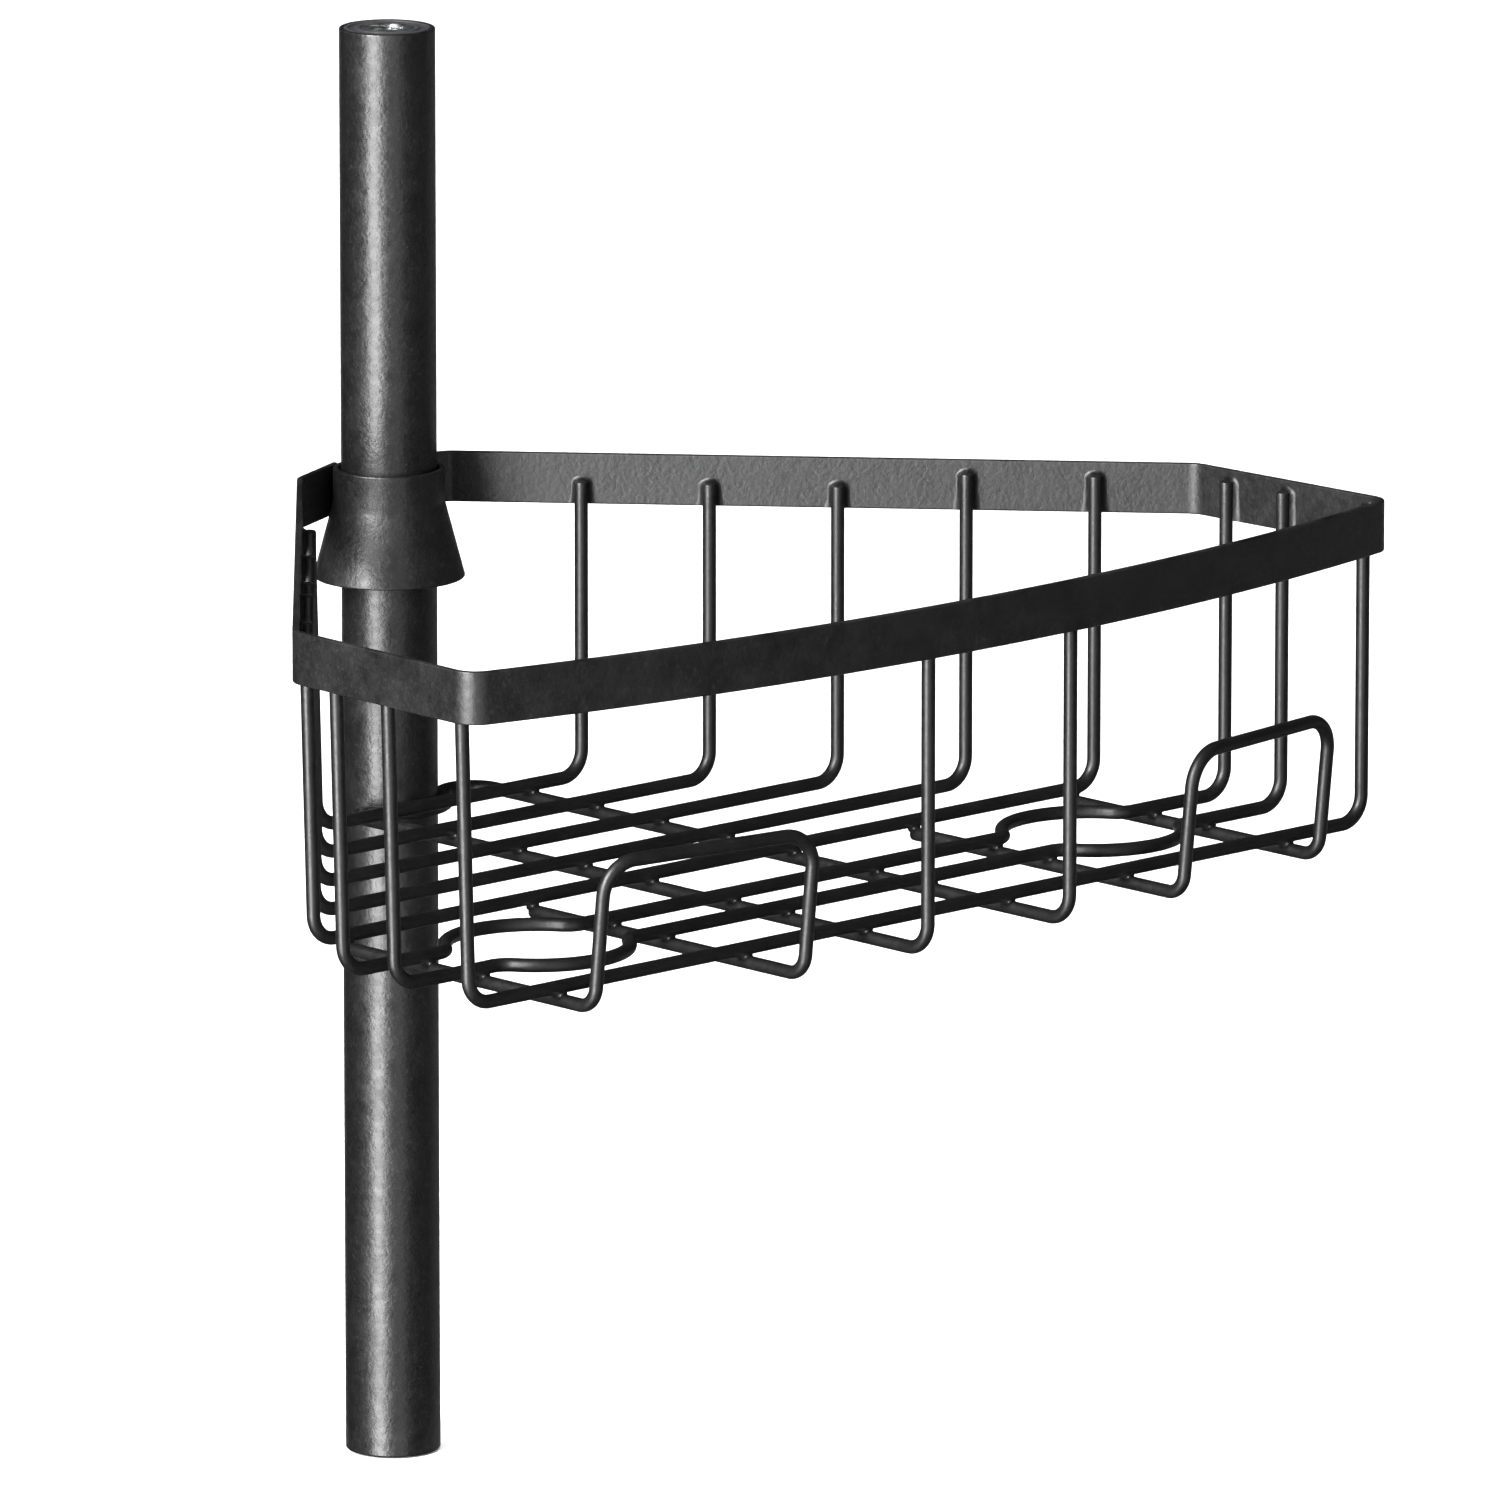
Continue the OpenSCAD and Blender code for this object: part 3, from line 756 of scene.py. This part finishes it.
cp = [(POLE_R + 0.1, -CLIP_TOP), (POLE_R + 0.1, -CLIP_TOP - 1.5), (POLE_R + 0.65, -CLIP_TOP - 1.5), (POLE_R + 0.65, -CLIP_LOW + 1.5),
      (POLE_R + 0.1, -CLIP_LOW + 1.5), (POLE_R + 0.1, -CLIP_LOW), (seat_r(CLIP_LOW), -CLIP_LOW), (seat_r(CLIP_TOP), -CLIP_TOP)]
pr = round_loop(cp, [0.15, 0.1, 0.1, 0.1, 0.1, 0.15, 0.45, 0.35], 5)
for side, tag in ((-1, "left"), (1, "right")):
    v, f, w = half_lathe([(r, RIM_Z + z) for r, z in pr], side, 0.15, 72,
                         [0.5 if r > 15.4 and z < -CLIP_LOW + 0.4 else 0.0 for r, z in pr])
    ob = build("clip_half_%s_moulded" % tag, v, f, w, sharp=40, weighted=True)
    fix_normals(ob)
    for s in (-1, 1):
        depth, rad = (3.2, 1.1) if side > 0 else (3.8, 1.0)
        x0 = 0.0 if side > 0 else -1.0
        pp = [(0.0, 0), (rad, 0), (rad, depth - 0.35), (rad - 0.3, depth), (0.0, depth)]
        verts = []
        mseg = 32
        for r, h in pp[1:4]:
            for j in range(mseg):
                a = 2 * math.pi * j / mseg
                verts.append(V(x0 + h, s * 15.5 + r * math.cos(a), RIM_Z - CLIP_LOW + 3.4 + r * math.sin(a)))
        faces = grid_faces(3, mseg, False, True) + [tuple(range(mseg)), tuple(2 * mseg + j for j in reversed(range(mseg)))]
        tool = build("tool", verts, faces)
        fix_normals(tool)
        bo = ob.modifiers.new("peg", "BOOLEAN")
        bo.operation = "DIFFERENCE" if side > 0 else "UNION"
        bo.object = tool
        bo.solver = "EXACT"
        bpy.context.view_layer.objects.active = ob
        bpy.ops.object.modifier_move_to_index(modifier="peg", index=0)
        bpy.ops.object.modifier_apply(modifier="peg")
        bpy.data.objects.remove(tool)
    finish_piece(ob, "clip", M_NYLON, ["clip_half_" + tag])
    top, bot = -CLIP_TOP - 1.7, -CLIP_LOW + 1.7
    ribs = [(POLE_R + 0.6, bot), (POLE_R + 0.6, top)]
    k = 12
    inner = [(POLE_R + 0.07 + (0.12 if i % 2 else 0.0), top + (bot - top) * i / k) for i in range(k + 1)]
    loop = round_loop(ribs + inner, [0.1, 0.1] + [0.05] * (k + 1), 3)
    v, f, w = half_lathe([(r, RIM_Z + z) for r, z in loop], side, 0.8, 64)
    finish_piece(build("grip_pad_%s_ribbed" % tag, v, f, w, sharp=40), "grip", M_PAD, ["grip_pad_" + tag], True)

# ------------------------------------------------------------------ camera
C = Vector((-2.88988, -3.22208, 1.11859))
back = Vector((-0.668400, -0.713441, 0.210343)).normalized()
up = Vector((0.143684, 0.153620, 0.977628))
right = up.cross(back).normalized()
up = back.cross(right).normalized()
cam_data = bpy.data.cameras.new("camera")
cam_data.sensor_width = 36.0
cam_data.lens = 16947.44 / 1500 * 36.0
cam_data.clip_start = 0.05
cam_data.clip_end = 60.0
cam = bpy.data.objects.new("camera", cam_data)
cam.matrix_world = Matrix(((right.x, up.x, back.x, C.x), (right.y, up.y, back.y, C.y), (right.z, up.z, back.z, C.z), (0, 0, 0, 1)))
bpy.context.scene.collection.objects.link(cam)
bpy.context.scene.camera = cam

# ------------------------------------------------------------------ stage and light
verts, rows = [], []
R0, COVE, WALL = 9.0, 2.5, 7.0
rows = [(0.01, 0.0), (1.0, 0.0), (3.0, 0.0), (R0 - COVE, 0.0)]
rows += [(R0 - COVE + COVE * math.sin(a), COVE - COVE * math.cos(a)) for a in [math.pi / 2 * i / 16 for i in range(1, 17)]]
rows += [(R0, WALL)]
n = 96
for r, z in rows:
    for j in range(n):
        a = 2 * math.pi * j / n
        verts.append((r * math.cos(a), r * math.sin(a), z - 0.0004))
me = bpy.data.meshes.new("studio_floor")
me.from_pydata(verts, [], grid_faces(len(rows), n, False, True) + [tuple(reversed(range(n)))])
me.polygons.foreach_set("use_smooth", [True] * len(me.polygons))
floor = bpy.data.objects.new("studio_floor", me)
bpy.context.scene.collection.objects.link(floor)
mat, nt, b = node_tree("studio_paper")
b.inputs["Roughness"].default_value = 1.0
b.inputs["Specular IOR Level"].default_value = 0.0
co = nt.nodes.new("ShaderNodeTexCoord").outputs["Object"]
nt.links.new(mix_color(nt, remap(nt, noise_node(nt, co, 3.0, 2.0), 0.3, 0.7, 0.0, 1.0), (0.86, 0.86, 0.86, 1), (0.88, 0.88, 0.88, 1)),
             b.inputs["Base Color"])
me.materials.append(mat)
floor.visible_glossy = False
floor.visible_shadow = False


def area(name, loc, target, w, h, power, glossy=True, spread=180.0):
    d = bpy.data.lights.new(name, "AREA")
    d.shape = "RECTANGLE"
    d.size, d.size_y = w, h
    d.energy = power
    d.spread = math.radians(spread)
    o = bpy.data.objects.new(name, d)
    o.location = loc
    o.rotation_euler = (Vector(target) - Vector(loc)).to_track_quat("-Z", "Y").to_euler()
    bpy.context.scene.collection.objects.link(o)
    o.visible_glossy = glossy
    return o


def polar(az_deg, dist, z):
    a = math.radians(az_deg)
    return (dist * math.cos(a), dist * math.sin(a), z)


CENTRE = (0.0, -0.09, 0.20)
area("key_softbox", polar(195.5, 2.6, -0.05), CENTRE, 1.12, 2.7, 209.0)
area("key_upper", polar(187.0, 2.6, 1.9), CENTRE, 0.95, 1.3, 235.0)
area("key_feather", polar(216.0, 2.7, -0.30), CENTRE, 1.0, 2.2, 8.0)
area("overhead", (0.3, -0.6, 4.2), (0.3, -0.6, 0.0), 6.0, 6.0, 450.0, glossy=False)
area("front_fill", polar(-38.0, 3.2, -0.3), CENTRE, 2.0, 2.2, 1.0)
area("right_feather", polar(249.0, 2.6, 0.10), CENTRE, 0.95, 3.0, 14.0)
area("back_wash", polar(50.0, 3.0, -0.75), CENTRE, 2.4, 1.7, 9.0)
area("side_wash", polar(358.0, 3.0, -0.75), CENTRE, 2.4, 1.7, 2.8)

world = bpy.data.worlds.new("studio")
world.use_nodes = True
world.node_tree.nodes["Background"].inputs["Color"].default_value = (0.022, 0.022, 0.0225, 1.0)
world.node_tree.nodes["Background"].inputs["Strength"].default_value = 1.0
bpy.context.scene.world = world
bpy.context.scene.view_settings.view_transform = "Standard"
bpy.context.scene.view_settings.look = "None"
